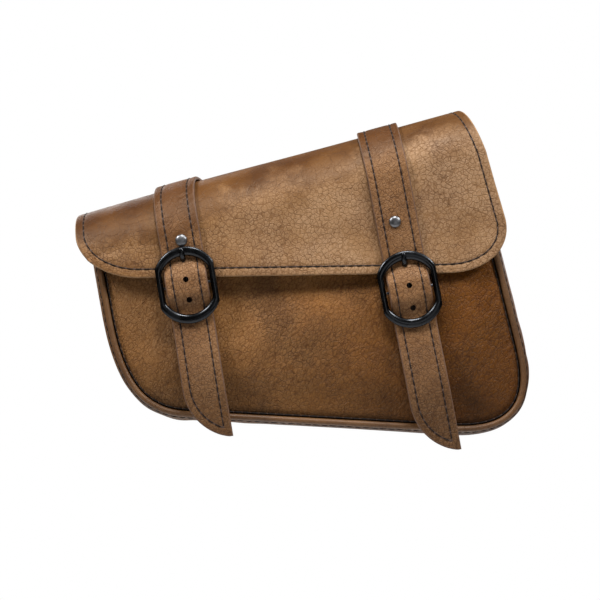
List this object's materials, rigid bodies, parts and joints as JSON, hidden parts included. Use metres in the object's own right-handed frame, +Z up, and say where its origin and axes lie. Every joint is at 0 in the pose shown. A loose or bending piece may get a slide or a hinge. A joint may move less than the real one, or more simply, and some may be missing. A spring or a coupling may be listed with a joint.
{
  "type": "saddle bag",
  "caption": "Slanted leather saddle bag with a stiffened body, fold-over flap, buckled straps with hanging tails and hidden magnetic clasps.",
  "frame": {"origin": "on the flat back face, near its middle", "axes": "+X right seen from the front, +Y out of the back towards what the bag hangs on, +Z up"},
  "size_m": [0.3632, 0.1196, 0.2701],
  "materials": {
    "flap_leather": "pebbled tan, satin",
    "body_leather": "creased brown, satin",
    "piping_leather": "rolled brown, satin",
    "lining": "brushed brown lining",
    "board": "black sheet",
    "gunmetal": "polished black nickel",
    "nickel": "polished nickel",
    "magnet": "plated magnet"
  },
  "bodies": {
    "body": {"back_panel": "body_leather", "back_board": "board", "gusset": "body_leather", "front_panel": "body_leather", "front_board": "board", "front_piping": "piping_leather", "mouth_binding": "piping_leather", "clasp_plate_left": "nickel", "clasp_plate_right": "nickel", "clasp_washer_left": "nickel", "clasp_washer_right": "nickel"},
    "flap": {"flap": "flap_leather", "flap_lining": "lining", "strap_left": "flap_leather", "strap_right": "flap_leather", "buckle_frame_left": "gunmetal", "buckle_frame_right": "gunmetal", "buckle_bar_left": "gunmetal", "buckle_bar_right": "gunmetal", "buckle_prong_left": "gunmetal", "buckle_prong_right": "gunmetal", "buckle_chape_left": "flap_leather", "buckle_chape_right": "flap_leather", "clasp_magnet_left": "magnet", "clasp_magnet_right": "magnet", "rivet_cap_left": "nickel", "rivet_cap_right": "nickel", "rivet_washer_left": "nickel", "rivet_washer_right": "nickel"},
    "tail_left": {"strap_tail_left": "flap_leather"},
    "tail_right": {"strap_tail_right": "flap_leather"}
  },
  "joints": [
    {"name": "flap_hinge", "type": "hinge", "parent": "body", "child": "flap", "pos_m": [-0.0263, -0.0013, 0.09482], "axis": [-0.9636, 0, -0.2672], "range_deg": [0, 105]},
    {"name": "tail_left_flex", "type": "hinge", "parent": "flap", "child": "tail_left", "pos_m": [-0.08397, -0.1128, -0.0185], "axis": [-0.9869, 0, -0.1616], "range_deg": [0, 55], "stiffness_Nm_per_rad": 0.02},
    {"name": "tail_right_flex", "type": "hinge", "parent": "flap", "child": "tail_right", "pos_m": [0.08881, -0.1128, -0.02168], "axis": [-0.9829, 0, -0.184], "range_deg": [0, 55], "stiffness_Nm_per_rad": 0.02}
  ]
}
